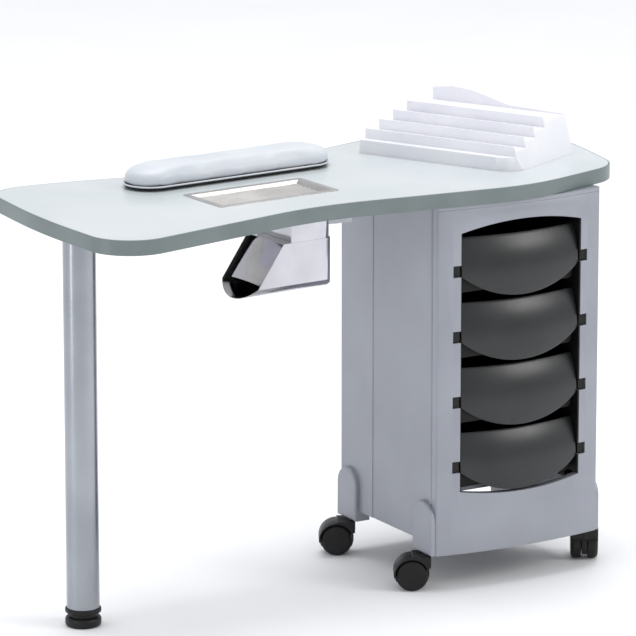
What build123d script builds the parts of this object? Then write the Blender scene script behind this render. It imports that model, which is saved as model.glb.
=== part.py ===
from build123d import *
import os
from math import atan2, cos, degrees, radians, sin, sqrt, tan

os.makedirs("parts", exist_ok=True)

# Manicure table: kidney-shaped worktop on one round leg and a four-drawer cabinet on casters,
# with a recessed dust extractor, an arm cushion and a stepped polish rack.
# Millimetres, +Z up, the drawers open towards -Y, the origin is on the floor under the
# middle of the worktop.

# Worktop
work_height = 760.0
top_length = 1182.0
top_depth = 567.0
board_thickness = 27.0
laminate_thickness = 1.0
band_thickness = 3.0
band_edge_radius = 1.2

# Round leg
leg_from_left = 67.0
leg_from_front = 234.0
leg_diameter = 60.0
leg_wall = 1.5
leg_flange_diameter = 112.0
leg_flange_thickness = 4.0
leg_spigot_length = 30.0
leg_screw_circle = 92.0
leg_screw_count = 4
leg_screw_diameter = 5.0
leg_screw_bite = 18.0
leg_screw_head = 9.0
leg_screw_head_height = 2.5
plug_diameter = 66.0
plug_bottom = 25.0
plug_collar_height = 10.0
plug_spigot_length = 28.0
foot_diameter = 66.0
foot_height = 18.0
foot_neck_diameter = 51.0
foot_gap = 0.5
stud_diameter = 10.0

# Cabinet
cabinet_width = 354.0
cabinet_depth = 346.0
cabinet_from_right = 105.0
cabinet_from_front = 77.0
cabinet_bottom = 70.0
panel_thickness = 18.0
back_thickness = 12.0
side_bottom = 89.0
back_bottom = 78.0
frame_thickness = 16.0
frame_bow = 17.0
frame_seam = 3.0
frame_corner_radius = 4.0
opening_margin = 46.0
opening_bottom = 189.0
opening_below_top = 53.0
opening_arch_top = 17.0
opening_arch_bottom = 12.0
recess_depth = 1.2
recess_start = 14.0
recess_width = 196.0
cleat_width = 11.0
cleat_depth = 18.0
boss_width = 68.0
boss_height = 100.0
boss_proud = 10.0
boss_inner = 22.0
groove_below_top = 8.0
groove_height = 1.0
groove_depth = 0.8
cabinet_screw_diameter = 5.0
cabinet_screw_bite = 16.0
cabinet_screw_head = 9.0
cabinet_screw_head_height = 3.0
cabinet_screw_inset = 60.0

# Drawers and their runners
drawer_count = 4
first_notch_below_opening = 71.0
last_notch_above_opening = 47.9
notch_width = 15.5
notch_height = 22.0
liner_thickness = 2.5
liner_reach = 6.0
runner_start = 36.0
runner_length = 292.0
runner_wall = 4.0
runner_end_gap = 3.0
tray_depth = 292.0
tray_front = 12.0
tray_wall = 2.5
tray_corner_radius = 10.0
tray_below_notch = 45.0
side_clearance = 3.5
flange_height = 18.0
flange_clearance = 1.2
flange_proud = 3.0
front_thickness = 3.0
front_gap_above = 2.85
front_gap_below = 5.85
front_side_below_notch = 12.0
front_side_clearance = 1.5
front_bulge = 18.0
front_lean = 19.0
front_tuck = 7.0
front_proud = 22.0
front_widest_below_notch = 8.0
front_sweep = 60.0
peg_diameter = 12.0
peg_below_notch = 15.0

# Casters
wheel_diameter = 60.0
wheel_width = 20.0
wheel_dome = 8.0
wheel_inner_rounding = 2.0
wheel_bore_depth = 15.0
web_width = 10.0
wheel_clearance = 1.0
hood_clearance = 1.6
hood_thickness = 2.2
hood_cut_above_axle = 4.0
hood_cut_tilt = 12.0
shoulder_reach = 8.0
shoulder_rounding = 4.0
caster_trail = 27.0
axle_diameter = 6.0
stem_diameter = 8.0
socket_diameter = 14.0
socket_length = 36.0
running_fit = 0.05
caster_inset_x = 1.0
caster_inset_y = 36.0
neck_diameter = 18.0
neck_gap = 3.0
caster_turns = {"front_left": -29.4, "rear_left": -29.4, "front_right": 238.0, "rear_right": -50.0}

# Extractor and arm cushion, both turned a little against the cabinet
fitting_turn = 4.0
grille_from_left = 444.0
grille_from_front = 238.0
grille_length = 260.0
grille_width = 130.0
grille_rim = 11.0
grille_rim_thickness = 1.2
grille_corner_radius = 8.0
grille_draft = 30.0
grille_depth = 17.0
grille_sheet = 1.2
well_clearance = 2.0
louvre_count = 6
louvre_pitch = 14.0
louvre_length = 210.0
louvre_thickness = 1.5
louvre_chord = 9.0
louvre_tilt = 35.0
louvre_frame_height = 2.0
louvre_seat_depth = 7.0
louvre_gap = 0.2
filter_length = 180.0
filter_width = 74.0
filter_height = 8.0
filter_overlap = 5.0
sheet = 1.2
vane_lift = 9.0
vane_setback = 7.0
vane_bow = 9.0
lining_thickness = 6.0
lining_gap = 2.0
duct_left = 26.0
duct_right = 107.0
duct_front = 68.0
duct_back = 52.0
duct_end_bow = 6.0
duct_corner_radius = 15.0
collar_flange = 6.0
collar_height = 56.0
housing_height = 78.0
housing_sag = 24.0
housing_right = 110.0
mouth_top = 4.0
mouth_bottom = -52.0
plenum_left = 116.0
plenum_half_width = 48.0
plenum_depth = 20.0
motor_diameter = 56.0
motor_height = 40.0
motor_x = 66.0
motor_above_sag = 8.0
motor_rounding = 4.0
bracket_half_width = 26.0
bracket_thickness = 2.0
impeller_diameter = 86.0
impeller_height = 24.0
impeller_gap = 4.0
impeller_blades = 9
impeller_disc = 2.0
impeller_blade = 1.5
impeller_hub = 18.0
shaft_diameter = 6.0
shaft_engagement = 10.0
switch_box_width = 54.0
switch_box_depth = 60.0
switch_box_height = 42.0
switch_box_wall = 2.0
switch_from_grille = 129.0
switch_from_front = 219.0
rocker_radius = 10.0
rocker_width = 12.0
rocker_half_height = 4.0
rocker_tilt = 8.0
rocker_pin = 3.0
rocker_gap = 0.6
rocker_from_front = 20.0
box_corner_radius = 3.0
lug_thickness = 3.0
lug_width = 8.0
lug_height = 6.0
inlet_width = 20.0
inlet_height = 16.0
inlet_depth = 14.0
inlet_wall = 2.0
inlet_floor = 3.0
contact_diameter = 2.4
contact_spacing = 8.0
cushion_from_left = 464.0
cushion_from_front = 400.0
cushion_length = 445.0
cushion_width = 110.0
cushion_height = 30.0
cushion_top_radius = 20.0
cushion_base_inset = 7.0
cushion_base_height = 4.0
cushion_foot_diameter = 16.0
cushion_foot_height = 3.0
cushion_foot_spacing = 150.0

# Polish rack
rack_turn = -63.26
rack_from_right = 401.0
rack_from_back = 114.0
rack_width = 340.0
rack_depth = 218.0
rack_far_taper = 0.15
rack_wall = 2.5
rack_front_height = 26.0
rack_lip_depths = (17.0, 57.0, 97.0, 137.0)
rack_lip_heights = (45.0, 57.0, 69.0, 80.5)
rack_tread_drop = 8.0
rack_corner_radius = 40.0
rack_back_height = 96.0
rack_back_peak = 102.0
rack_back_low = 78.0
rack_peak_at = 87.0
rack_slope_end = 172.0
rack_back_end_height = 74.0
rack_peak_fall = 3.0
rack_near_lean = 0.25
rack_far_lean = 0.08
rack_back_thickness = 6.0

left_end = -top_length / 2
right_end = top_length / 2
front_edge = -top_depth / 2
back_edge = top_depth / 2
top_underside = work_height - board_thickness - laminate_thickness
leg_x = left_end + leg_from_left
leg_y = front_edge + leg_from_front
cabinet_x = right_end - cabinet_from_right - cabinet_width
cabinet_y = front_edge + cabinet_from_front
cabinet_place = Pos(cabinet_x, cabinet_y, 0)
fitting_place = Pos(left_end + grille_from_left, front_edge + grille_from_front, 0) * Rot(0, 0, fitting_turn)
opening_top = top_underside - opening_below_top
first_notch_height = opening_top - first_notch_below_opening
last_notch_height = opening_bottom + last_notch_above_opening
drawer_pitch = (first_notch_height - last_notch_height) / (drawer_count - 1)
notch_heights = [first_notch_height - i * drawer_pitch for i in range(drawer_count)]
front_above_notch = drawer_pitch / 2 - front_gap_above
front_below_notch = drawer_pitch / 2 - front_gap_below
housing_top = top_underside - collar_height
housing_bottom = housing_top - housing_height
motor_bottom = housing_bottom - housing_sag + motor_above_sag
motor_y = (duct_back - duct_front) / 2


def save(name, *shapes):
    solids = [solid for shape in shapes for solid in shape.solids()]
    export_step(solids[0] if len(solids) == 1 else Compound(solids), f"parts/{name}.step")


def block(x0, x1, y0, y1, z0, z1):
    return Pos((x0 + x1) / 2, (y0 + y1) / 2, (z0 + z1) / 2) * Box(x1 - x0, y1 - y0, z1 - z0)


def rod(x, y, z0, z1, diameter):
    return Pos(x, y, (z0 + z1) / 2) * Cylinder(diameter / 2, z1 - z0)


# ---- worktop ----

def top_outline():
    corners = [
        (left_end + 17, front_edge - 19, 85),
        (left_end - 1, front_edge + 257, 1500),
        (left_end + 21, back_edge - 51, 75),
        (left_end + 170, back_edge - 60, 600),
        (left_end + 500, back_edge - 121, 890),
        (right_end - 232, back_edge + 19, 400),
        (right_end + 2, back_edge - 60, 140),
        (right_end, front_edge + 317, 600),
        (right_end - 37, front_edge + 119, 90),
        (right_end - 267, front_edge + 45, 400),
        (left_end + 480, front_edge + 91, 600),
    ]
    points = [(x, y) for x, y, radius in corners]
    outline = make_face(FilletPolyline(*points, radius=[radius for x, y, radius in corners], close=True))
    middle = outline.bounding_box().center()
    return Pos(-middle.X, -middle.Y) * outline


def well_cutter():
    cut = Pos(0, 0, work_height) * Box(
        grille_length - 2 * grille_rim + 2 * well_clearance,
        grille_width - 2 * grille_rim + 2 * well_clearance,
        4 * board_thickness,
    )
    return fitting_place * cut


def build_top():
    outline = top_outline()
    core = offset(outline, amount=-band_thickness)
    well = well_cutter()
    board = Pos(0, 0, top_underside) * extrude(core, board_thickness) - well
    for x, y in leg_screw_points():
        board -= rod(x, y, top_underside, top_underside + leg_screw_bite, leg_screw_diameter)
    for x, y in cabinet_screw_points():
        board -= rod(x, y, top_underside, top_underside + cabinet_screw_bite, cabinet_screw_diameter)
    laminate = Pos(0, 0, work_height - laminate_thickness) * extrude(core, laminate_thickness) - well
    slab = extrude(outline, work_height - top_underside)
    rims = slab.edges().filter_by_position(Axis.Z, -0.1, 0.1)
    rims += slab.edges().filter_by_position(Axis.Z, work_height - top_underside - 0.1, work_height)
    slab = fillet(rims, band_edge_radius)
    band = Pos(0, 0, top_underside) * (slab - extrude(core, work_height - top_underside))
    save("table_board", board)
    save("top_laminate", laminate)
    save("edge_band", band)


# ---- leg ----

def leg_screw_points():
    points = []
    for i in range(leg_screw_count):
        angle = radians(45 + i * 360 / leg_screw_count)
        x = leg_x + leg_screw_circle / 2 * cos(angle)
        y = leg_y + leg_screw_circle / 2 * sin(angle)
        points.append((x, y))
    return points


def screw(x, y, seat, bite, diameter, head, head_height):
    shank = rod(x, y, seat, seat + bite, diameter)
    return shank + rod(x, y, seat - head_height, seat, head)


def build_screws():
    flange_bottom = top_underside - leg_flange_thickness
    lid_bottom = top_underside - panel_thickness
    screws = []
    for x, y in leg_screw_points():
        screws.append(screw(x, y, flange_bottom, leg_screw_bite + leg_flange_thickness,
                            leg_screw_diameter, leg_screw_head, leg_screw_head_height))
    for x, y in cabinet_screw_points():
        screws.append(screw(x, y, lid_bottom, panel_thickness + cabinet_screw_bite,
                            cabinet_screw_diameter, cabinet_screw_head, cabinet_screw_head_height))
    save("worktop_screws", *screws)


def build_leg():
    flange_bottom = top_underside - leg_flange_thickness
    bore = leg_diameter - 2 * leg_wall
    plate = rod(leg_x, leg_y, flange_bottom, top_underside, leg_flange_diameter)
    plate = chamfer(plate.edges().sort_by(Axis.Z)[0], leg_flange_thickness / 4)
    plate += rod(leg_x, leg_y, flange_bottom - leg_spigot_length, flange_bottom, bore)
    plate -= rod(leg_x, leg_y, flange_bottom - leg_spigot_length, flange_bottom, bore - 2 * leg_wall)
    for x, y in leg_screw_points():
        plate -= rod(x, y, flange_bottom, top_underside, leg_screw_diameter)
    tube_bottom = plug_bottom + plug_collar_height
    tube = rod(leg_x, leg_y, tube_bottom, flange_bottom, leg_diameter)
    tube -= rod(leg_x, leg_y, tube_bottom, flange_bottom, bore)
    plug = rod(leg_x, leg_y, plug_bottom, tube_bottom, plug_diameter)
    plug = fillet(plug.edges().filter_by(GeomType.CIRCLE), plug_collar_height / 3)
    plug += rod(leg_x, leg_y, tube_bottom, tube_bottom + plug_spigot_length, bore)
    plug -= rod(leg_x, leg_y, 0, work_height / 2, stud_diameter + 2 * running_fit)
    pad = rod(leg_x, leg_y, 0, foot_height, foot_diameter)
    pad = fillet(pad.edges().filter_by(GeomType.CIRCLE), foot_height / 3)
    pad += rod(leg_x, leg_y, foot_height / 2, plug_bottom - foot_gap, foot_neck_diameter)
    stud_bottom = foot_height / 2
    stud = rod(leg_x, leg_y, stud_bottom, tube_bottom + plug_spigot_length, stud_diameter)
    pad -= rod(leg_x, leg_y, stud_bottom, plug_bottom, stud_diameter)
    save("leg_plate", plate)
    save("leg_tube", tube)
    save("leg_plug", plug)
    save("foot_stud", stud)
    save("foot_pad", pad)


# ---- cabinet ----

def cabinet_screw_points():
    x0 = cabinet_x + cabinet_screw_inset
    x1 = cabinet_x + cabinet_width - cabinet_screw_inset
    y0 = cabinet_y + cabinet_screw_inset
    y1 = cabinet_y + cabinet_depth - cabinet_screw_inset
    return [(x, y) for x in (x0, x1) for y in (y0, y1)]


def bow_radius(chord, rise):
    return (chord * chord / 4 + rise * rise) / (2 * rise)


def front_bow(setback):
    # The front frame's arc, seen from above, moved back by the given amount.
    radius = bow_radius(cabinet_width, frame_bow)
    return Pos(cabinet_width / 2, radius - frame_bow) * Circle(radius - setback)


def front_band(near, far):
    # Plan area between two setbacks from the bowed front.
    strip = Pos(cabinet_width / 2, -frame_bow / 2 + cabinet_depth / 2) * Rectangle(
        cabinet_width, cabinet_depth + 3 * frame_bow)
    return (front_bow(near) - front_bow(far)) & strip & front_half()


def front_half():
    return Pos(cabinet_width / 2, 0) * Rectangle(2 * cabinet_width, 2 * frame_thickness + 2 * frame_bow)


def behind_front():
    return front_bow(frame_thickness) & Pos(cabinet_width / 2, cabinet_depth / 2) * Rectangle(
        cabinet_width, cabinet_depth + 2 * frame_bow)


def opening_face():
    left = opening_margin
    right = cabinet_width - opening_margin
    middle = cabinet_width / 2
    edges = [
        Line((left, opening_bottom), (left, opening_top)),
        ThreePointArc((left, opening_top), (middle, opening_top + opening_arch_top), (right, opening_top)),
        Line((right, opening_top), (right, opening_bottom)),
        ThreePointArc((right, opening_bottom), (middle, opening_bottom - opening_arch_bottom),
                      (left, opening_bottom)),
    ]
    return make_face(Curve() + edges)


def notch_cutters():
    cutters = []
    notch = Box(2 * notch_width, 4 * frame_thickness, notch_height)
    for z in notch_heights:
        for x in (opening_margin, cabinet_width - opening_margin):
            cutters.append(Pos(x, 0, z) * notch)
    return cutters


def build_front_frame():
    plate = front_band(0, frame_thickness)
    plate = Pos(0, 0, cabinet_bottom) * extrude(plate, top_underside - cabinet_bottom)
    uprights = plate.edges().filter_by(Axis.Z).group_by(Axis.Y)[-2:]
    outer = [edge for group in uprights for edge in group if edge.center().Y < frame_thickness / 2]
    plate = fillet(outer, frame_corner_radius)
    plate -= extrude(Plane.XZ * opening_face(), 3 * frame_thickness, both=True)
    for cutter in notch_cutters():
        plate -= cutter
    groove_area = front_band(-groove_depth, groove_depth)
    plate -= Pos(0, 0, top_underside - groove_below_top) * extrude(groove_area, groove_height)
    save("front_frame", cabinet_place * plate)


def caster_spots():
    x0 = caster_inset_x
    x1 = cabinet_width - caster_inset_x
    y0 = caster_inset_y
    y1 = cabinet_depth - caster_inset_y
    return {"front_left": (x0, y0), "rear_left": (x0, y1), "front_right": (x1, y0), "rear_right": (x1, y1)}


def boss(y_middle, y_limit):
    # Bullet-shaped pilaster at a lower corner, with the caster's socket in it.
    arch = boss_width / 2
    straight = boss_height - arch
    face = Pos(y_middle, cabinet_bottom + straight / 2) * Rectangle(boss_width, straight)
    face += Pos(y_middle, cabinet_bottom + straight) * Circle(arch)
    body = extrude(Plane.YZ * face, boss_inner)
    skin = Pos(-boss_proud, 0, 0) * extrude(Plane.YZ * face, boss_proud)
    skin = fillet(skin.faces().sort_by(Axis.X)[0].edges(), boss_proud / 2)
    body &= block(0, boss_inner, y_limit, cabinet_depth - back_thickness, 0, work_height)
    return body + skin


def side_panel():
    start = frame_thickness + frame_seam
    panel = block(0, panel_thickness, start, cabinet_depth, side_bottom, top_underside)
    panel = fillet(panel.edges().filter_by(Axis.Z).group_by(Axis.X)[0], frame_corner_radius)
    hollow = block(-recess_depth, recess_depth, start + recess_start, start + recess_start + recess_width,
                   side_bottom - recess_depth, top_underside)
    panel -= fillet(hollow.edges().filter_by(Axis.Z), recess_depth * 0.8)
    panel += boss(caster_inset_y + 1, start)
    panel += boss(cabinet_depth - caster_inset_y, start)
    for y in (caster_inset_y, cabinet_depth - caster_inset_y):
        panel -= rod(caster_inset_x, y, 0, cabinet_bottom + socket_length, socket_diameter)
    panel -= block(panel_thickness, 2 * boss_inner, cabinet_depth - back_thickness, cabinet_depth,
                   0, work_height)
    return panel


def mirrored(shape):
    return Pos(cabinet_width, 0, 0) * mirror(shape, Plane.YZ)


def build_cabinet():
    panel = side_panel()
    save("side_left", cabinet_place * panel)
    save("side_right", cabinet_place * mirrored(panel))
    inner = cabinet_width - panel_thickness
    back = block(panel_thickness, inner, cabinet_depth - back_thickness, cabinet_depth,
                 back_bottom, top_underside)
    save("back_panel", cabinet_place * back)
    lid = extrude(behind_front(), panel_thickness) & block(
        panel_thickness, inner, -cabinet_depth, cabinet_depth - back_thickness, 0, panel_thickness)
    lid = cabinet_place * Pos(0, 0, top_underside - panel_thickness) * lid
    for x, y in cabinet_screw_points():
        lid -= rod(x, y, 0, work_height, cabinet_screw_diameter)
    save("top_panel", lid)
    cleat = Pos(0, 0, side_bottom + boss_height) * extrude(
        behind_front(), top_underside - panel_thickness - side_bottom - boss_height)
    cleat &= block(panel_thickness, panel_thickness + cleat_width, -frame_bow,
                   frame_thickness + cleat_depth, 0, work_height)
    save("corner_cleats", cabinet_place * cleat, cabinet_place * mirrored(cleat))
    sockets = []
    for x, y in caster_spots().values():
        sleeve = rod(x, y, cabinet_bottom, cabinet_bottom + socket_length, socket_diameter)
        sleeve -= rod(x, y, 0, work_height, stem_diameter + 2 * running_fit)
        sockets.append(cabinet_place * sleeve)
    save("caster_sockets", *sockets)


def runner_panel():
    # Moulded panel with a groove for each drawer's flange and a lip that lines the opening.
    runner_bottom = cabinet_bottom + boss_height + runner_end_gap
    runner_top = top_underside - panel_thickness - runner_end_gap
    inner = opening_margin + liner_thickness
    groove_floor = opening_margin - notch_width
    outline = block(panel_thickness, inner, runner_start, runner_start + runner_length,
                    runner_bottom, runner_top)
    levels = [runner_top] + notch_heights + [runner_bottom]
    for upper, lower in zip(levels, levels[1:]):
        high = upper - runner_wall - (notch_height / 2 if upper != runner_top else 0)
        low = lower + runner_wall + (notch_height / 2 if lower != runner_bottom else 0)
        outline -= block(panel_thickness + runner_wall, opening_margin, 0, cabinet_depth, low, high)
    lip = block(opening_margin, inner, -liner_reach, runner_start, opening_bottom + 1, opening_top - 1)
    panel = outline + lip
    for z in notch_heights:
        panel -= block(groove_floor, inner, -cabinet_depth, cabinet_depth,
                       z - notch_height / 2, z + notch_height / 2)
    return panel


def build_runners():
    panel = runner_panel()
    save("runner_left", cabinet_place * panel)
    save("runner_right", cabinet_place * mirrored(panel))


# ---- drawers ----

def drawer_tray(z):
    x0 = opening_margin + liner_thickness + side_clearance
    x1 = cabinet_width - x0
    bottom = z - tray_below_notch
    top = z + flange_height / 2
    tray = block(x0, x1, tray_front, tray_front + tray_depth, bottom, top)
    tray = fillet(tray.edges().filter_by(Axis.Y).group_by(Axis.Z)[0], tray_corner_radius)
    hollow = block(x0 + tray_wall, x1 - tray_wall, tray_front + tray_wall,
                   tray_front + tray_depth - tray_wall, bottom + tray_wall, top + 1)
    tray -= fillet(hollow.edges().filter_by(Axis.Y).group_by(Axis.Z)[0], tray_corner_radius - tray_wall)
    reach = opening_margin - notch_width + flange_clearance
    flange = block(reach, opening_margin, -flange_proud, tray_front + tray_depth, z - flange_height / 2, top)
    flange += block(opening_margin, x0, tray_front, tray_front + tray_depth, z - flange_height / 2, top)
    flange -= block(reach + tray_wall, x0, tray_front + tray_wall, cabinet_depth, 0, top - tray_wall)
    return tray + flange + mirrored(flange)


def drawer_front(z):
    # A shell bulged across and down, turned about an upright axis behind the drawer.
    half = cabinet_width / 2 - opening_margin - liner_thickness - front_side_clearance
    radius = bow_radius(2 * half, front_bulge)
    axis_y = radius - front_proud
    top = z + front_above_notch
    bottom = z - front_below_notch

    def turned(inset):
        outer = radius - inset
        widest = (outer, z - front_widest_below_notch)
        arc = ThreePointArc((outer - front_lean, top), widest, (outer - front_tuck, bottom))
        back = radius - 4 * front_bulge
        rest = Polyline((outer - front_tuck, bottom), (back, bottom), (back, top), (outer - front_lean, top))
        return revolve(Plane.XZ * make_face(Curve() + [arc, rest]), Axis.Z, front_sweep)

    place = Pos(cabinet_width / 2, axis_y, 0) * Rot(0, 0, -90 - front_sweep / 2)
    block_front = place * turned(0)
    shell = block_front - place * turned(front_thickness)
    side = z - front_side_below_notch
    middle = cabinet_width / 2
    edges = [
        Line((middle - half, side), (middle - half, top)),
        Line((middle - half, top), (middle + half, top)),
        Line((middle + half, top), (middle + half, side)),
        ThreePointArc((middle + half, side), (middle, bottom), (middle - half, side)),
    ]
    outline = extrude(Plane.XZ * make_face(Curve() + edges), 3 * front_proud, both=True)
    shell &= outline
    for x in (middle - half / 2, middle + half / 2):
        peg = Pos(x, 0, z - peg_below_notch) * Rot(90, 0, 0) * Cylinder(peg_diameter / 2, 8 * front_proud)
        peg &= block(0, cabinet_width, -3 * front_proud, tray_front, 0, work_height)
        shell += peg & block_front
    return shell


def build_drawers():
    for i, z in enumerate(notch_heights):
        save(f"drawer_{i + 1}_tray", cabinet_place * drawer_tray(z))
        save(f"drawer_{i + 1}_front", cabinet_place * drawer_front(z))


# ---- casters ----

def across(x, z, y0, y1, diameter):
    return Pos(x, (y0 + y1) / 2, z) * Rot(90, 0, 0) * Cylinder(diameter / 2, y1 - y0)


def caster_parts():
    # Swivel axis on Z at the origin, the wheels trail towards -X.
    axle_z = wheel_diameter / 2
    axle_x = -caster_trail
    inner = web_width / 2 + wheel_clearance
    outer = inner + wheel_width
    cover = wheel_diameter + 2 * hood_clearance
    shell_top = cabinet_bottom - neck_gap
    hood = across(axle_x, axle_z, -outer, outer, cover + 2 * hood_thickness)
    hood -= across(axle_x, axle_z, -outer, outer, cover)
    hood &= Pos(axle_x, 0, axle_z + hood_cut_above_axle) * Rot(0, -hood_cut_tilt, 0) * Pos(0, 0, cover) * Box(
        2 * cover, 4 * outer, 2 * cover)
    web = across(axle_x, axle_z, -web_width / 2, web_width / 2, cover + hood_thickness)
    web &= block(-3 * cover, 3 * cover, -outer, outer, axle_z * 0.45, 2 * cover)
    shoulder = block(axle_x, shoulder_reach, -outer, outer, axle_z, shell_top)
    shoulder = fillet(shoulder.edges().filter_by(Axis.Z).group_by(Axis.X)[-1], shoulder_rounding)
    shoulder = fillet(shoulder.faces().sort_by(Axis.Z)[-1].edges(), shoulder_rounding / 2)
    neck = rod(0, 0, axle_z, shell_top, neck_diameter) + shoulder
    neck -= across(axle_x, axle_z, -2 * outer, -web_width / 2, cover)
    neck -= across(axle_x, axle_z, web_width / 2, 2 * outer, cover)
    neck -= block(-cover, cover, -outer, outer, 0, axle_z + wheel_diameter / 4)
    stem_bottom = axle_z + wheel_diameter / 3
    hood = hood + web + neck
    hood -= rod(0, 0, stem_bottom, cabinet_bottom, stem_diameter)
    hood -= across(axle_x, axle_z, -outer, outer, axle_diameter)
    stem = rod(0, 0, stem_bottom, cabinet_bottom + socket_length - 1, stem_diameter)
    axle_reach = inner + wheel_bore_depth - 1
    axle = across(axle_x, axle_z, -axle_reach, axle_reach, axle_diameter)
    wheels = []
    for side in (1, -1):
        near, far = sorted((side * inner, side * outer))
        wheel = across(axle_x, axle_z, near, far, wheel_diameter)
        rims = wheel.edges().filter_by(GeomType.CIRCLE).sort_by(lambda edge: abs(edge.center().Y))
        wheel = fillet(rims[-1], wheel_dome)
        rims = wheel.edges().filter_by(GeomType.CIRCLE).sort_by(lambda edge: abs(edge.center().Y))
        wheel = fillet(rims[0], wheel_inner_rounding)
        start, end = sorted((side * inner, side * (inner + wheel_bore_depth)))
        wheel -= across(axle_x, axle_z, start, end, axle_diameter + 2 * running_fit)
        wheels.append(wheel)
    return hood, [stem, axle], wheels[0], wheels[1]


def build_casters():
    hood, pins, wheel_a, wheel_b = caster_parts()
    for name, (x, y) in caster_spots().items():
        place = cabinet_place * Pos(x, y, 0) * Rot(0, 0, caster_turns[name])
        save(f"caster_{name}_hood", place * hood)
        save(f"caster_{name}_pins", *[place * pin for pin in pins])
        save(f"caster_{name}_wheel_a", place * wheel_a)
        save(f"caster_{name}_wheel_b", place * wheel_b)


# ---- dust extractor ----

def tapered(length, width, depth, top):
    face = Rectangle(length, width)
    return Pos(0, 0, top) * extrude(face, -depth, taper=grille_draft)


def build_grille():
    length = grille_length - 2 * grille_rim
    width = grille_width - 2 * grille_rim
    rim = RectangleRounded(grille_length, grille_width, grille_corner_radius)
    rim = Pos(0, 0, work_height) * extrude(rim, grille_rim_thickness)
    tray = rim + tapered(length, width, grille_depth, work_height)
    slant = grille_sheet / cos(radians(grille_draft))
    tray -= Pos(0, 0, work_height + grille_rim_thickness) * extrude(
        Rectangle(length - 2 * slant + 2 * grille_rim_thickness * tan(radians(grille_draft)),
                  width - 2 * slant + 2 * grille_rim_thickness * tan(radians(grille_draft))),
        -(grille_depth + grille_rim_thickness - grille_sheet), taper=grille_draft)
    window = Box(filter_length - 2 * filter_overlap, filter_width - 2 * filter_overlap, 4 * grille_sheet)
    tray -= Pos(0, 0, work_height - grille_depth) * window
    save("grille_tray", fitting_place * tray)
    base = work_height - louvre_seat_depth
    narrowing = 2 * (louvre_seat_depth * tan(radians(grille_draft)) + slant + louvre_gap)
    middle = base + louvre_frame_height / 2
    louvre_width = (louvre_count - 1) * louvre_pitch + louvre_chord
    grid = Box(length - narrowing, width - narrowing, louvre_frame_height)
    grid = Pos(0, 0, middle) * (grid - Box(louvre_length, louvre_width, 2 * louvre_frame_height))
    for i in range(louvre_count):
        y = (i - (louvre_count - 1) / 2) * louvre_pitch
        blade = Box(louvre_length + louvre_frame_height, louvre_chord, louvre_thickness)
        grid += Pos(0, y, middle) * Rot(louvre_tilt, 0, 0) * blade
    save("grille_louvres", fitting_place * grid)
    top = work_height - grille_depth
    pad = block(-filter_length / 2, filter_length / 2, -filter_width / 2, filter_width / 2,
                top - filter_height, top)
    save("dust_filter", fitting_place * pad)


def duct_plan(inset):
    # Plan of the duct: straight walls and a right end that bows outwards.
    front = -duct_front + inset
    back = duct_back - inset
    middle = (front + back) / 2
    end = duct_right - inset
    edges = [
        Line((duct_left + inset, back), (duct_left + inset, front)),
        Line((duct_left + inset, front), (end, front)),
        ThreePointArc((end, front), (end + duct_end_bow, middle), (end, back)),
        Line((end, back), (duct_left + inset, back)),
    ]
    face = make_face(Curve() + edges)
    return fillet(face.vertices().group_by(Axis.X)[-1], duct_corner_radius - inset)


def build_duct():
    height = top_underside - housing_top
    collar = extrude(duct_plan(0), height) - extrude(duct_plan(sheet), height)
    collar = Pos(0, 0, housing_top) * collar
    collar += block(duct_left - collar_flange, duct_left + sheet, -duct_front, -duct_front + sheet,
                    housing_top, top_underside)
    collar -= block(duct_left - 1, duct_left + 2 * sheet, -plenum_half_width + sheet,
                    plenum_half_width - sheet, top_underside - plenum_depth + sheet, work_height)
    save("duct_collar", fitting_place * collar)
    pan = block(-plenum_left, duct_left, -plenum_half_width, plenum_half_width,
                top_underside - plenum_depth, top_underside)
    pan = fillet(pan.edges().filter_by(Axis.Y).group_by(Axis.Z)[0].group_by(Axis.X)[0], plenum_depth / 2)
    pan -= block(-plenum_left + sheet, duct_left, -plenum_half_width + sheet, plenum_half_width - sheet,
                 top_underside - plenum_depth + sheet, top_underside)
    save("intake_pan", fitting_place * pan)


def housing_body(inset):
    front = -duct_front + inset
    back = duct_back - inset
    middle = (front + back) / 2
    low = housing_bottom
    top = housing_top - inset
    edges = [
        Line((front, low), (front, top)),
        Line((front, top), (back, top)),
        Line((back, top), (back, low)),
        ThreePointArc((back, low), (middle, low - housing_sag + inset), (front, low)),
    ]
    section = extrude(Plane.YZ * make_face(Curve() + edges), 2 * duct_right, both=True)
    end = housing_right - inset
    left = -2 * duct_right
    plan_edges = [
        Line((left, back), (left, front)),
        Line((left, front), (end, front)),
        ThreePointArc((end, front), (end + duct_end_bow, middle), (end, back)),
        Line((end, back), (left, back)),
    ]
    plan = make_face(Curve() + plan_edges)
    plan = fillet(plan.vertices().group_by(Axis.X)[-1], duct_corner_radius - inset)
    return section & extrude(plan, work_height)


def mouth_direction():
    rise = housing_top - housing_bottom
    run = mouth_top - mouth_bottom
    length = sqrt(rise * rise + run * run)
    return run / length, rise / length


def behind_mouth(setback):
    # Everything to the right of the slanted mouth, moved inwards by the setback.
    run, rise = mouth_direction()
    shift = setback / rise
    reach = 200.0
    bottom_x = mouth_bottom + shift - reach * run / rise
    top_x = mouth_top + shift + reach * run / rise
    points = [
        (bottom_x, housing_bottom - reach),
        (4 * duct_right, housing_bottom - reach),
        (4 * duct_right, housing_top + reach),
        (top_x, housing_top + reach),
    ]
    solid = extrude(Plane.XZ * make_face(Polyline(*points, close=True)), 3 * duct_front, both=True)
    return solid


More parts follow.
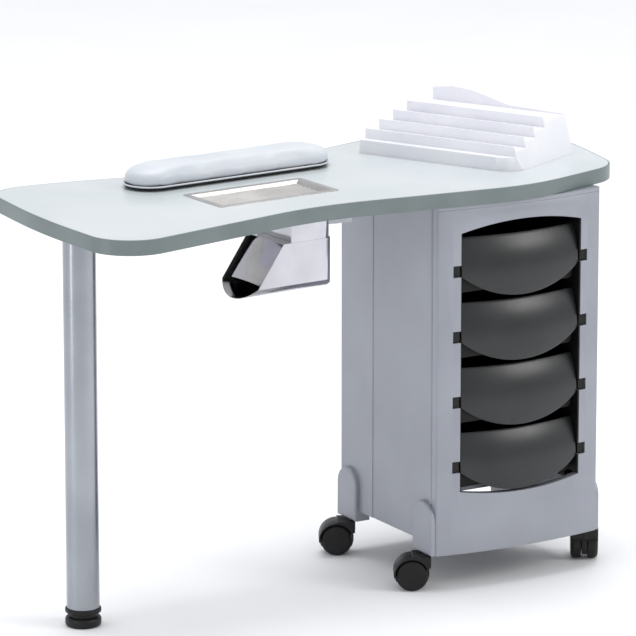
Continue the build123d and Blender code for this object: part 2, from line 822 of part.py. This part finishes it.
def build_housing():
    cut = behind_mouth(0)
    shell = (housing_body(0) - housing_body(sheet)) & cut
    shell -= Pos(0, 0, housing_top - 2 * sheet) * extrude(duct_plan(2 * sheet), 4 * sheet)
    save("extractor_housing", fitting_place * shell)
    lining = housing_body(sheet) & behind_mouth(sheet)
    lining &= block(-duct_right, duct_left, duct_back - sheet - lining_thickness,
                    duct_back - sheet, 0, work_height)
    save("outlet_lining", fitting_place * lining)


def build_vane():
    # Polished vane that bows out towards the slanted mouth and turns the air down.
    run, rise = mouth_direction()
    origin = (mouth_bottom + vane_lift * run, 0, housing_bottom + vane_lift * rise)
    length = (housing_top - sheet - housing_bottom) / rise - vane_lift
    front = -duct_front + sheet
    back = duct_back - sheet - lining_thickness - lining_gap
    middle = (front + back) / 2
    ends = -vane_setback
    peak = vane_bow - vane_setback
    outer = ThreePointArc((front, ends), (middle, peak), (back, ends))
    inner = ThreePointArc((back, ends - sheet), (middle, peak - sheet), (front, ends - sheet))
    sides = [Line((back, ends), (back, ends - sheet)), Line((front, ends - sheet), (front, ends))]
    plane = Plane(origin=origin, x_dir=(0, 1, 0), z_dir=(run, 0, rise))
    vane = extrude(plane * make_face(Curve() + [outer, inner] + sides), length)
    save("outlet_vane", fitting_place * vane)


def build_fan():
    bracket = block(motor_x - bracket_half_width, motor_x + bracket_half_width, -duct_front + sheet,
                    duct_back - sheet, motor_bottom - bracket_thickness, motor_bottom)
    save("motor_bracket", fitting_place * bracket & housing_interior())
    motor_top = motor_bottom + motor_height
    motor = rod(motor_x, motor_y, motor_bottom, motor_top, motor_diameter)
    motor = fillet(motor.edges().filter_by(GeomType.CIRCLE).sort_by(Axis.Z)[-1], motor_rounding)
    motor -= rod(motor_x, motor_y, motor_top - shaft_engagement, motor_top, shaft_diameter + 2 * running_fit)
    save("fan_motor", fitting_place * motor)
    bottom = motor_top + impeller_gap
    disc = rod(motor_x, motor_y, bottom, bottom + impeller_disc, impeller_diameter)
    hub = rod(motor_x, motor_y, bottom, bottom + impeller_height, impeller_hub)
    shaft = rod(motor_x, motor_y, motor_top - shaft_engagement + 1, bottom + impeller_disc, shaft_diameter)
    fan = disc + hub + shaft
    blade_start = impeller_hub / 2 - 1
    blade_length = impeller_diameter / 2 - blade_start - impeller_disc
    for i in range(impeller_blades):
        blade = Box(blade_length, impeller_blade, impeller_height)
        blade = Pos(blade_start + blade_length / 2, 0, impeller_height / 2) * blade
        fan += Pos(motor_x, motor_y, bottom) * Rot(0, 0, i * 360 / impeller_blades) * blade
    save("fan_impeller", fitting_place * fan)


def housing_interior():
    return fitting_place * housing_body(sheet)


# ---- switch box ----

def build_switch():
    x0 = left_end + grille_from_left + switch_from_grille
    x1 = x0 + switch_box_width
    y0 = front_edge + switch_from_front
    y1 = y0 + switch_box_depth
    z1 = top_underside
    z0 = z1 - switch_box_height
    wall = switch_box_wall
    box = block(x0, x1, y0, y1, z0, z1)
    box = fillet(box.edges().filter_by(Axis.Z), box_corner_radius)
    box -= block(x0 + wall, x1 - wall, y0 + wall, y1 - wall, z0 + wall, z1)
    xm = (x0 + x1) / 2
    ym = y0 + rocker_from_front
    pivot_z = z0 + wall
    window = rocker_radius + rocker_gap
    half = rocker_width / 2 + rocker_gap
    box -= block(xm - half, xm + half, ym - window, ym + window, z0, z0 + wall)
    for side in (-1, 1):
        inner = xm + side * half
        outer = xm + side * (half + lug_thickness)
        lug = block(min(inner, outer), max(inner, outer), ym - lug_width / 2, ym + lug_width / 2,
                    z0 + wall, z0 + wall + lug_height)
        box += lug
    axis_place = Pos(xm, ym, pivot_z)
    box -= axis_place * Rot(0, 90, 0) * Cylinder(rocker_pin / 2 + running_fit, 2 * (half + lug_thickness) + 2)
    inlet_z = (z0 + z1) / 2
    inlet = Pos(xm, y1 - inlet_depth / 2, inlet_z) * Box(inlet_width, inlet_depth, inlet_height)
    box -= inlet
    rocker = Rot(0, 90, 0) * Cylinder(rocker_radius, rocker_width)
    rocker &= Box(2 * rocker_width, 4 * rocker_radius, 2 * rocker_half_height)
    rocker += Rot(0, 90, 0) * Cylinder(rocker_pin / 2, 2 * half + 2 * lug_thickness - 1)
    rocker = axis_place * Rot(rocker_tilt, 0, 0) * rocker
    socket = Box(inlet_width - 2 * inlet_wall, inlet_depth, inlet_height - 3 * inlet_wall)
    inlet -= Pos(xm, y1 - inlet_depth / 2 + inlet_floor, inlet_z) * socket
    for side in (-1, 1):
        contact = Rot(90, 0, 0) * Cylinder(contact_diameter / 2, inlet_depth / 2)
        inlet += Pos(xm + side * contact_spacing / 2, y1 - inlet_depth / 2 - 1, inlet_z) * contact
    save("switch_box", box)
    save("rocker_switch", rocker)
    save("power_inlet", inlet)


# ---- arm cushion ----

def build_cushion():
    place = Pos(left_end + cushion_from_left, front_edge + cushion_from_front, 0) * Rot(0, 0, fitting_turn)
    base_bottom = work_height + cushion_foot_height
    pad_bottom = base_bottom + cushion_base_height
    base = SlotOverall(cushion_length - 2 * cushion_base_inset, cushion_width - 2 * cushion_base_inset)
    base = Pos(0, 0, base_bottom) * extrude(base, cushion_base_height)
    pad = extrude(SlotOverall(cushion_length, cushion_width), cushion_height)
    pad = fillet(pad.faces().sort_by(Axis.Z)[-1].edges(), cushion_top_radius)
    pad = fillet(pad.faces().sort_by(Axis.Z)[0].edges(), cushion_top_radius / 4)
    feet = []
    for x in (-cushion_foot_spacing, cushion_foot_spacing):
        for y in (-cushion_width / 4, cushion_width / 4):
            feet.append(place * rod(x, y, work_height, base_bottom, cushion_foot_diameter))
    save("cushion_base", place * base)
    save("cushion_pad", place * Pos(0, 0, pad_bottom) * pad)
    save("cushion_feet", *feet)


# ---- polish rack ----

def rack_plan(inset):
    shrink = rack_far_taper * rack_depth
    slant = sqrt(1 + rack_far_taper * rack_far_taper)
    points = [
        (inset * slant, inset),
        (rack_width - inset, inset),
        (rack_width - inset, rack_depth - inset),
        (shrink + inset * slant, rack_depth - inset),
    ]
    face = make_face(Polyline(*points, close=True))
    front_corner = face.vertices().group_by(Axis.Y)[0].sort_by(Axis.X)[-1]
    return fillet(front_corner, rack_corner_radius - inset)


def rack_steps(drop, inset, lip):
    # Side profile of the steps: a riser with a lip at each front edge, then a flat tread.
    points = [(inset, -1), (inset, rack_front_height - drop)]
    for depth, height in zip(rack_lip_depths, rack_lip_heights):
        tread = height - rack_tread_drop - drop
        points.append((depth + inset, points[-1][1]))
        points.append((depth + inset, tread + lip))
        if lip > 0:
            points.append((depth + inset + rack_wall, tread + lip))
            points.append((depth + inset + rack_wall, tread))
    points.append((rack_depth - inset, points[-1][1]))
    points.append((rack_depth - inset, -1))
    return points


def rack_leans(inset):
    # Both ends lean inwards with height, the near one more than the far one.
    top = 2 * rack_back_peak
    points = [
        (inset, 0),
        (inset + rack_far_lean * top, top),
        (rack_width - inset - rack_near_lean * top, top),
        (rack_width - inset, 0),
    ]
    return extrude(Plane.XZ * make_face(Polyline(*points, close=True)), -rack_depth)


def rack_back_outline():
    shrink = rack_far_taper * rack_depth
    right = rack_width
    return [
        (shrink, 0),
        (shrink, rack_back_height),
        (shrink + rack_peak_at / 2, rack_back_peak),
        (shrink + rack_peak_at, rack_back_peak - rack_peak_fall),
        (shrink + rack_slope_end, rack_back_low),
        (right, rack_back_end_height),
        (right, 0),
    ]


def build_rack():
    place = Pos(right_end - rack_from_right, back_edge - rack_from_back, work_height) * Rot(0, 0, rack_turn)
    steps = extrude(Plane.YZ * make_face(Polyline(*rack_steps(0, 0, rack_tread_drop), close=True)), rack_width)
    back = extrude(Plane.XZ * make_face(Polyline(*rack_back_outline(), close=True)), rack_back_thickness)
    body = (steps + Pos(0, rack_depth, 0) * back) & extrude(rack_plan(0), 2 * rack_back_peak)
    body &= rack_leans(0)
    under = extrude(Plane.YZ * make_face(Polyline(*rack_steps(rack_wall, rack_wall, 0), close=True)),
                    rack_width)
    body -= under & extrude(rack_plan(rack_wall), rack_back_peak) & rack_leans(rack_wall)
    save("polish_rack", place * body)


build_top()
build_leg()
build_screws()
build_front_frame()
build_cabinet()
build_runners()
build_drawers()
build_casters()
build_grille()
build_duct()
build_housing()
build_vane()
build_fan()
build_switch()
build_cushion()
build_rack()
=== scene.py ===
import bpy, bmesh, math
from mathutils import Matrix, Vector


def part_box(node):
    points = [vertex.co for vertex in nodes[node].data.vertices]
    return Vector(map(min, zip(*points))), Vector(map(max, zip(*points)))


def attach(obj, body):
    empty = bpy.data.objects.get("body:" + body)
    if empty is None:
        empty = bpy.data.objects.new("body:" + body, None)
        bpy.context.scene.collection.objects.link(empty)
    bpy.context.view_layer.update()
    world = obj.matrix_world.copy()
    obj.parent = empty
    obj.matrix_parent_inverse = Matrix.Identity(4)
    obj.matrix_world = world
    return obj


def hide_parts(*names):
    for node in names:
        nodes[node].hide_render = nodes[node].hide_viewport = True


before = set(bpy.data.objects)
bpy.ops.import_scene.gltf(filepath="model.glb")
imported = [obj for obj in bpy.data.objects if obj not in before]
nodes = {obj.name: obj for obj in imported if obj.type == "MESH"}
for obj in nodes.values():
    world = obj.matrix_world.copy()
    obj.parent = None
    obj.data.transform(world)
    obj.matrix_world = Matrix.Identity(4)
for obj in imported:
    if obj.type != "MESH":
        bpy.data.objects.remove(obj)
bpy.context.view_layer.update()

scene = bpy.context.scene
scene.view_settings.view_transform = "Standard"      # keeps the whites of the table white
mm = 0.001      # metres


cameraView = {
    "place": (-4.579, -7.764, 2.691),   # metres, from the row's origin
    "turn": 30.53,                      # degrees to the right of +Y
    "dip": 13.31,                       # degrees below the horizon
    "lens": 283.3,                      # mm
    "shiftY": -0.05,
    "reach": 100,                       # metres, the furthest thing that is drawn
}

studioLight = {      # places and sizes in metres, powers in watts
    "world": "#F4F6FA",
    "worldPower": 0.8,
    "key": {"place": (3.2, -3.6, 3.0), "size": (1.8, 1.8), "power": 75, "hex": "#FFFDFA"},
    "strip": {"place": (-3.4, -0.2, 1.0), "size": (0.4, 2.0), "power": 13, "hex": "#F6F8FF"},
    "over": {"place": (0.2, 1.2, 8.0), "size": (6.0, 5.0), "power": 360, "hex": "#FFFFFF"},
    "aim": (0, 0, 0.45),
    "floorRadius": 60,
    "floor": "#FBFBFC",
    "floorFaint": "#F9F9FA",
}


def linear(hexColour):
    # sRGB hex to the linear values that the shaders work in
    values = [int(hexColour[i:i + 2], 16) / 255 for i in (1, 3, 5)]
    return tuple(v / 12.92 if v <= 0.04045 else ((v + 0.055) / 1.055) ** 2.4 for v in values) + (1.0,)


def addNode(tree, kind, settings=None, links=None):
    # settings are the node's own properties or the values of its sockets
    node = tree.nodes.new(kind)
    for key, value in (settings or {}).items():
        if hasattr(node, key):
            setattr(node, key, value)
        else:
            node.inputs[key].default_value = value
    for key, source in (links or {}).items():
        tree.links.new(source, node.inputs[key])
    return node


def link(obj):
    scene.collection.objects.link(obj)
    return obj


def placeCamera():
    data = bpy.data.cameras.new("camera")
    data.lens = cameraView["lens"]
    data.shift_y = cameraView["shiftY"]
    data.clip_end = cameraView["reach"]
    camera = link(bpy.data.objects.new("camera", data))
    camera.location = cameraView["place"]
    tilt = math.radians(90 - cameraView["dip"])
    camera.rotation_euler = (tilt, 0, -math.radians(cameraView["turn"]))
    scene.camera = camera


def addPanel(name, spec):
    data = bpy.data.lights.new(name, "AREA")
    data.shape = "RECTANGLE"
    data.size, data.size_y = spec["size"]
    data.energy = spec["power"]
    data.color = linear(spec["hex"])[:3]
    panel = link(bpy.data.objects.new(name, data))
    panel.location = spec["place"]
    aim = Vector(studioLight["aim"]) - panel.location
    panel.rotation_euler = aim.to_track_quat("-Z", "Y").to_euler()


def lightStudio():
    world = bpy.data.worlds.new("studio")
    world.use_nodes = True
    back = world.node_tree.nodes["Background"]
    back.inputs["Color"].default_value = linear(studioLight["world"])
    back.inputs["Strength"].default_value = studioLight["worldPower"]
    scene.world = world
    for name in ("key", "strip", "over"):
        addPanel(name, studioLight[name])


def layFloor():
    mesh = bpy.data.meshes.new("floor")
    shape = bmesh.new()
    bmesh.ops.create_circle(shape, cap_ends=True, segments=96, radius=studioLight["floorRadius"])
    shape.to_mesh(mesh)
    shape.free()
    floor = link(bpy.data.objects.new("floor", mesh))
    # matt emulsion on a smooth floor: almost even, with no shine
    tree, shader, coords = startMaterial("painted cove floor", studioLight["floor"], {"Roughness": 0.7})
    drift(tree, shader, coords, studioLight["floorFaint"], studioLight["floor"], 400)
    mesh.materials.append(bpy.data.materials["painted cove floor"])


def startMaterial(name, hexColour, settings):
    # a new material with its shader's values set, and coordinates in metres that stay with the piece
    material = bpy.data.materials.new(name)
    material.use_nodes = True
    tree = material.node_tree
    shader = tree.nodes["Principled BSDF"]
    shader.inputs["Base Color"].default_value = linear(hexColour)
    for key, value in settings.items():
        shader.inputs[key].default_value = value
    coords = addNode(tree, "ShaderNodeTexCoord").outputs["Object"]
    return tree, shader, coords


def stretched(tree, coords, scale):
    # a scale under 1 draws the pattern out along that axis
    return addNode(tree, "ShaderNodeMapping", {"Scale": scale}, {"Vector": coords}).outputs["Vector"]


def pattern(tree, coords, sizeMm, detail, rough=0.5):
    # cloudy pattern whose largest patches are about this many millimetres
    return addNode(tree, "ShaderNodeTexNoise",
                   {"Scale": 1 / (sizeMm * mm), "Detail": detail, "Roughness": rough},
                   {"Vector": coords}).outputs["Fac"]


def drift(tree, shader, coords, hexA, hexB, sizeMm, low=0.35, high=0.65):
    # slow change between two close colours
    ramp = addNode(tree, "ShaderNodeValToRGB", {}, {"Fac": pattern(tree, coords, sizeMm, 3)})
    for stop, place, colour in zip(ramp.color_ramp.elements, (low, high), (hexA, hexB)):
        stop.position = place
        stop.color = linear(colour)
    tree.links.new(ramp.outputs["Color"], shader.inputs["Base Color"])


def relief(tree, shader, height, depthMm, strength, before=None):
    # fine unevenness of the surface, on top of an earlier one if there is one
    links = {"Height": height}
    if before:
        links["Normal"] = before
    bump = addNode(tree, "ShaderNodeBump", {"Strength": strength, "Distance": depthMm * mm}, links)
    tree.links.new(bump.outputs["Normal"], shader.inputs["Normal"])
    return bump.outputs["Normal"]


def sheenRange(tree, shader, height, low, high):
    # roughness that varies between two values
    spread = addNode(tree, "ShaderNodeMapRange", {"To Min": low, "To Max": high}, {"Value": height})
    tree.links.new(spread.outputs["Result"], shader.inputs["Roughness"])


def glossLaminate():
    # high-pressure laminate pressed against a polished plate: clear reflections, faint orange peel
    tree, shader, coords = startMaterial("gloss laminate pressed", "#C6CCCE",
                                         {"Roughness": 0.16, "IOR": 1.5})
    drift(tree, shader, coords, "#C1C8CA", "#CBD0D1", 260)
    relief(tree, shader, pattern(tree, coords, 7, 2), 0.02, 0.5)
    sheenRange(tree, shader, pattern(tree, coords, 90, 3), 0.13, 0.2)


def extrudedEdging():
    # PVC edging, extruded: fine lines along it and a satin surface
    tree, shader, coords = startMaterial("pvc edging extruded", "#6B7676",
                                         {"Roughness": 0.36, "IOR": 1.53})
    drift(tree, shader, coords, "#667171", "#707B7B", 120)
    lines = pattern(tree, stretched(tree, coords, (0.02, 0.02, 1)), 1.2, 2)
    relief(tree, shader, lines, 0.05, 0.6)
    sheenRange(tree, shader, lines, 0.3, 0.42)


def silverFoil():
    # board wrapped in silver-grey foil: satin, with fine metal flake and a hint of peel
    tree, shader, coords = startMaterial("silver foil wrapped board", "#94979F",
                                         {"Roughness": 0.4, "Metallic": 0.25, "Coat Weight": 0.15,
                                          "Coat Roughness": 0.3})
    drift(tree, shader, coords, "#90939B", "#989BA3", 180)
    relief(tree, shader, pattern(tree, coords, 1.1, 3), 0.04, 0.5)
    sheenRange(tree, shader, pattern(tree, coords, 60, 3), 0.36, 0.46)


def smokedFronts():
    # smoked styrene, injection moulded: dark grey, satin, soft reflections
    tree, shader, coords = startMaterial("smoked styrene moulded", "#222425",
                                         {"Roughness": 0.34, "IOR": 1.57, "Specular IOR Level": 0.38})
    drift(tree, shader, coords, "#1E2020", "#252728", 110)
    relief(tree, shader, pattern(tree, coords, 0.9, 2), 0.03, 0.5)
    sheenRange(tree, shader, pattern(tree, coords, 30, 3), 0.28, 0.36)


def blackMoulding(name, hexColour, rough, grain):
    # black plastic from a spark-eroded mould, whose grain breaks up the reflections
    tree, shader, coords = startMaterial(name, hexColour,
                                         {"Roughness": rough, "IOR": 1.46, "Specular IOR Level": 0.35})
    drift(tree, shader, coords, hexColour, "#1A1A1A", 40, low=0.4, high=0.8)
    relief(tree, shader, pattern(tree, coords, grain, 3), 0.06, 0.6)
    sheenRange(tree, shader, pattern(tree, coords, 12, 3), rough - 0.06, rough + 0.08)


def satinTube():
    # satin-chromed tube, linished round its girth: long soft highlights
    tree, shader, coords = startMaterial("satin chrome linished", "#9B9FA5",
                                         {"Metallic": 1.0, "Roughness": 0.26})
    drift(tree, shader, coords, "#94989E", "#A2A6AB", 150)
    rings = pattern(tree, stretched(tree, coords, (0.05, 0.05, 1)), 0.6, 3)
    relief(tree, shader, rings, 0.06, 0.9)      # the rings spread each highlight up and down
    sheenRange(tree, shader, pattern(tree, stretched(tree, coords, (0.2, 0.2, 1)), 8, 3), 0.2, 0.3)


def polishedSheet():
    # stainless sheet, mirror polished: slight waves from the folding
    tree, shader, coords = startMaterial("stainless sheet polished", "#B9B9BF",
                                         {"Metallic": 1.0, "Roughness": 0.12})
    drift(tree, shader, coords, "#B2B2B8", "#C0C0C6", 90)
    relief(tree, shader, pattern(tree, coords, 45, 2), 0.25, 0.5)
    sheenRange(tree, shader, pattern(tree, coords, 25, 4), 0.09, 0.2)


def brushedSheet():
    # stainless sheet, brushed along its length
    tree, shader, coords = startMaterial("stainless sheet brushed", "#C6C3C0",
                                         {"Metallic": 1.0, "Roughness": 0.28})
    lines = pattern(tree, stretched(tree, coords, (0.03, 1, 1)), 0.7, 3)
    drift(tree, shader, coords, "#BFBCB9", "#CECBC8", 60)
    relief(tree, shader, lines, 0.015, 0.4)
    sheenRange(tree, shader, lines, 0.24, 0.34)


def zincPlate():
    # zinc plated steel: dull, slightly mottled crystals
    tree, shader, coords = startMaterial("steel zinc plated", "#B4B6B8", {"Metallic": 1.0, "Roughness": 0.38})
    drift(tree, shader, coords, "#A8AAAC", "#C0C2C4", 6)
    sheenRange(tree, shader, pattern(tree, coords, 5, 4), 0.3, 0.48)


def paleVinyl():
    # upholstery vinyl, calendered: soft sheen, fine leather-like grain
    tree, shader, coords = startMaterial("vinyl calendered", "#CACED4",
                                         {"Roughness": 0.42, "IOR": 1.5, "Subsurface Weight": 0.08,
                                          "Subsurface Scale": 0.004})
    drift(tree, shader, coords, "#C6CBD1", "#CFD3D7", 80)
    cells = addNode(tree, "ShaderNodeTexVoronoi",
                    {"feature": "DISTANCE_TO_EDGE", "Scale": 1 / (1.6 * mm)},
                    {"Vector": coords}).outputs["Distance"]
    grain = relief(tree, shader, cells, 0.06, 0.35)
    relief(tree, shader, pattern(tree, coords, 14, 2), 0.3, 0.3, grain)
    sheenRange(tree, shader, pattern(tree, coords, 20, 3), 0.36, 0.48)


def opalAcrylic():
    # opal acrylic, vacuum formed: milky, light glows a little way into it
    tree, shader, coords = startMaterial("opal acrylic vacuum formed", "#EAEAF0",
                                         {"Roughness": 0.32, "IOR": 1.49, "Subsurface Weight": 0.15,
                                          "Subsurface Scale": 0.008})
    shader.inputs["Subsurface Radius"].default_value = (1.0, 0.95, 0.9)
    drift(tree, shader, coords, "#E6E6EC", "#EEEEF2", 120)
    relief(tree, shader, pattern(tree, coords, 20, 2), 0.08, 0.4)
    sheenRange(tree, shader, pattern(tree, coords, 40, 3), 0.28, 0.38)


def softFelt():
    # pressed filter felt: short random fibres, no gloss
    tree, shader, coords = startMaterial("filter felt pressed", "#8C8C89",
                                         {"Roughness": 0.9, "Sheen Weight": 0.3, "Sheen Roughness": 0.5})
    drift(tree, shader, coords, "#82827F", "#969693", 3)
    relief(tree, shader, pattern(tree, coords, 0.8, 4, 0.7), 0.3, 0.8)


def paintedShadeLining():
    # near-black lining of the outlet mouth: painted shade for the dark inside of the mouth, with small pits
    # in its surface
    tree, shader, coords = startMaterial("lining painted shade", "#0B0B0B", {"Roughness": 0.95})
    cells = addNode(tree, "ShaderNodeTexVoronoi", {"Scale": 1 / (1.8 * mm)},
                    {"Vector": coords}).outputs["Distance"]
    relief(tree, shader, cells, 0.6, 0.9)
    drift(tree, shader, coords, "#080808", "#131313", 4)


def chipCore():
    # melamine-faced chipboard seen from below: pale, matt, faint pores
    tree, shader, coords = startMaterial("melamine faced board", "#D4D2CC", {"Roughness": 0.55})
    drift(tree, shader, coords, "#CFCDC7", "#DAD8D2", 30)
    relief(tree, shader, pattern(tree, coords, 1.5, 4, 0.7), 0.05, 0.5)


def sawnPine():
    # sawn pine: straight grain along its height
    tree, shader, coords = startMaterial("pine sawn", "#C8A273", {"Roughness": 0.7})
    grain = stretched(tree, coords, (1, 1, 0.05))
    drift(tree, shader, grain, "#B98F5E", "#D6B487", 3)
    relief(tree, shader, pattern(tree, grain, 1.0, 3), 0.1, 0.6)


def paleCasing():
    # light grey ABS, injection moulded with a light texture
    tree, shader, coords = startMaterial("abs casing moulded", "#C9CCD2", {"Roughness": 0.42, "IOR": 1.53})
    drift(tree, shader, coords, "#C5C8CE", "#CFD2D8", 30)
    relief(tree, shader, pattern(tree, coords, 0.8, 3), 0.04, 0.5)


def makeFinishes():
    glossLaminate()
    extrudedEdging()
    silverFoil()
    smokedFronts()
    blackMoulding("nylon moulded", "#101010", 0.42, 0.8)
    blackMoulding("polyurethane tread", "#121212", 0.5, 1.2)
    blackMoulding("abs tray moulded", "#0E0E0E", 0.5, 0.9)
    satinTube()
    polishedSheet()
    brushedSheet()
    zincPlate()
    paleVinyl()
    opalAcrylic()
    softFelt()
    paintedShadeLining()
    chipCore()
    sawnPine()
    paleCasing()


finishOfNode = {      # which pieces have which finish; * stands for any middle part of a name
    "melamine faced board": ["table_board"],
    "gloss laminate pressed": ["top_laminate"],
    "pvc edging extruded": ["edge_band"],
    "silver foil wrapped board": ["side_left", "side_right", "front_frame", "back_panel", "top_panel"],
    "pine sawn": ["corner_cleats"],
    "steel zinc plated": ["leg_plate", "worktop_screws", "foot_stud", "motor_bracket", "caster_sockets",
                          "fan_motor", "caster_*_pins"],
    "satin chrome linished": ["leg_tube"],
    "stainless sheet brushed": ["grille_tray", "grille_louvres"],
    "stainless sheet polished": ["duct_collar", "extractor_housing", "outlet_vane", "intake_pan"],
    "nylon moulded": ["leg_plug", "foot_pad", "cushion_base", "rocker_switch", "power_inlet", "fan_impeller",
                      "cushion_feet", "caster_*_hood"],
    "polyurethane tread": ["caster_*_wheel_a", "caster_*_wheel_b"],
    "abs tray moulded": ["runner_left", "runner_right", "drawer_*_tray"],
    "smoked styrene moulded": ["drawer_*_front"],
    "vinyl calendered": ["cushion_pad"],
    "opal acrylic vacuum formed": ["polish_rack"],
    "filter felt pressed": ["dust_filter"],
    # the outlet lining's near-black is painted shade for the inside of the outlet mouth
    "lining painted shade": ["outlet_lining"],
    "abs casing moulded": ["switch_box"],
}


def nodesLike(wanted):
    if "*" not in wanted:
        return [wanted]
    start, end = wanted.split("*")
    return [name for name in nodes if name.startswith(start) and name.endswith(end)]


def finishNodes():
    for finish, names in finishOfNode.items():
        for name in [n for wanted in names for n in nodesLike(wanted)]:
            for place in nodes[name].material_slots:
                place.material = bpy.data.materials[finish]


edgeSoftness = {    # millimetres of rounding on each node's sharp edges
    "front_frame": 1.2, "side_left": 1.2, "side_right": 1.2, "back_panel": 0.8, "drawer_*_front": 0.9,
    "drawer_*_tray": 0.7, "polish_rack": 1.1, "extractor_housing": 0.4, "duct_collar": 0.4,
    "outlet_vane": 0.4, "grille_tray": 0.3, "caster_*_hood": 0.6, "switch_box": 0.6,
    "caster_*_wheel_a": 0.4, "caster_*_wheel_b": 0.4, "runner_left": 0.5, "runner_right": 0.5,
    "cushion_base": 1.0,
}


softEdge = {
    "weld": 0.02,       # mm, points nearer than this become one
    "segments": 2,
    "sharp": 32,        # degrees, the least turn that counts as an edge
}


def softenEdges():
    for wanted, width in edgeSoftness.items():
        for name in nodesLike(wanted):
            weld = nodes[name].modifiers.new("weld", "WELD")
            weld.merge_threshold = softEdge["weld"] * mm
            bevel = nodes[name].modifiers.new("soft edges", "BEVEL")
            bevel.width = width * mm
            bevel.segments = softEdge["segments"]
            bevel.limit_method = "ANGLE"
            bevel.angle_limit = math.radians(softEdge["sharp"])
            bevel.use_clamp_overlap = True
            bevel.harden_normals = True


cushion = {
    "turn": 4.0,           # degrees that the pad lies turned on the worktop
    "voxel": 5.0,          # mm, size of the even mesh that is inflated
    "lengthCut": 0.9825,   # shares of the full size that the cover is cut to before filling
    "widthCut": 0.95,
    "heightCut": 0.93,
    "pressure": 4.0,
    "frames": 20,
    "swell": 7.0,          # mm, the furthest that a point may move
    "bottomGap": 0.2,      # mm, over the base board that keeps the underside flat
    "ease": 0.5,
    "easeRounds": 6,
    "fill": 0.8,
    "piping": 3.2,         # mm, diameter of the piping round the lower edge
    "pipingInset": 5.0,    # mm, its centre line inside the pad's own edge
    "pipingLift": 1.4,     # mm, its centre line above the pad's underside
    "pipingPoints": 72,
}


def copyOfNode(name, piece):
    obj = bpy.data.objects.new(piece, nodes[name].data.copy())
    link(obj)
    obj.matrix_world = nodes[name].matrix_world.copy()
    return obj


def useOnly(obj):
    for other in bpy.context.selected_objects:
        other.select_set(False)
    obj.select_set(True)
    bpy.context.view_layer.objects.active = obj


def applyAll(obj):
    useOnly(obj)
    for name in [m.name for m in obj.modifiers]:
        bpy.ops.object.modifier_apply(modifier=name)


def cutCover(obj, low, middle):
    # the cover starts a little small, so that the filling swells it to its full size
    for point in obj.data.vertices:
        point.co.x = middle.x + (point.co.x - middle.x) * cushion["lengthCut"]
        point.co.y = middle.y + (point.co.y - middle.y) * cushion["widthCut"]
        point.co.z = low.z + (point.co.z - low.z) * cushion["heightCut"]


def inflate(obj, low):
    # air pressure fills the cover, and no point moves further than the swell
    start = [v.co.copy() for v in obj.data.vertices]
    cloth = obj.modifiers.new("cloth", "CLOTH")
    cloth.settings.use_pressure = True
    cloth.settings.uniform_pressure_force = cushion["pressure"]
    cloth.settings.effector_weights.gravity = 0
    cloth.point_cache.frame_start = 1
    cloth.point_cache.frame_end = cushion["frames"]
    for frameNumber in range(1, cushion["frames"] + 1):
        scene.frame_set(frameNumber)
    applyAll(obj)
    scene.frame_set(1)
    furthest = cushion["swell"] * mm
    for point, was in zip(obj.data.vertices, start):
        move = point.co - was
        if move.length > furthest:
            move *= furthest / move.length
        point.co = was + move
        point.co.z = max(point.co.z, low.z + cushion["bottomGap"] * mm)


def slotOutline(middle, length, width, turn, z, count):
    # points round a straight-sided outline with half-round ends
    straight = (length - width) / 2
    along = (math.cos(turn), math.sin(turn))
    points = []
    for i in range(count):
        angle = 2 * math.pi * i / count
        x = math.copysign(straight, math.cos(angle)) + width / 2 * math.cos(angle)
        y = width / 2 * math.sin(angle)
        points.append((middle.x + x * along[0] - y * along[1],
                       middle.y + x * along[1] + y * along[0], z))
    return points


def makeCushion():
    low, high = [Vector(c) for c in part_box("cushion_pad")]
    middle = (low + high) / 2
    pad = copyOfNode("cushion_pad", "arm_cushion")
    cutCover(pad, low, middle)
    remesh = pad.modifiers.new("even mesh", "REMESH")
    remesh.mode = "VOXEL"
    remesh.voxel_size = cushion["voxel"] * mm
    applyAll(pad)
    inflate(pad, low)
    smooth = pad.modifiers.new("eased", "SMOOTH")
    smooth.factor = cushion["ease"]
    smooth.iterations = cushion["easeRounds"]
    finer = pad.modifiers.new("finer", "SUBSURF")
    finer.levels = 1
    finer.render_levels = 1
    applyAll(pad)
    for face in pad.data.polygons:
        face.use_smooth = True
    pad.data.materials.clear()
    pad.data.materials.append(bpy.data.materials["vinyl calendered"])
    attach(pad, "table")
    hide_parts("cushion_pad")
    addPiping(low, high)


def slotSize(low, high, turn):
    # length and width of a turned slot shape, from the box that it fills
    span = high - low
    slope = math.tan(turn)
    width = (span.y - slope * span.x) / (1 - slope)
    return (span.x - width) / math.cos(turn) + width, width


def addPiping(low, high):
    # round cord under the vinyl, sewn along the lower edge
    turn = math.radians(cushion["turn"])
    middle = (low + high) / 2
    length, width = slotSize(low, high, turn)
    inset = 2 * cushion["pipingInset"] * mm
    curve = bpy.data.curves.new("cushion_piping", "CURVE")
    curve.dimensions = "3D"
    curve.bevel_depth = cushion["piping"] / 2 * mm
    curve.bevel_resolution = 4
    line = curve.splines.new("NURBS")
    height = low.z + cushion["pipingLift"] * mm
    points = slotOutline(middle, length - inset, width - inset, turn, height, cushion["pipingPoints"])
    line.points.add(len(points) - 1)
    for point, place in zip(line.points, points):
        point.co = (*place, 1)
    line.order_u = 3
    line.use_cyclic_u = True
    piping = link(bpy.data.objects.new("cushion_piping", curve))
    curve.materials.append(bpy.data.materials["vinyl calendered"])
    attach(piping, "table")


placeCamera()
print("camera placed")
makeFinishes()
print("finishes made")
lightStudio()
layFloor()
print("studio lit")
finishNodes()
softenEdges()
print("frame finished")
makeCushion()
print("cushion filled")
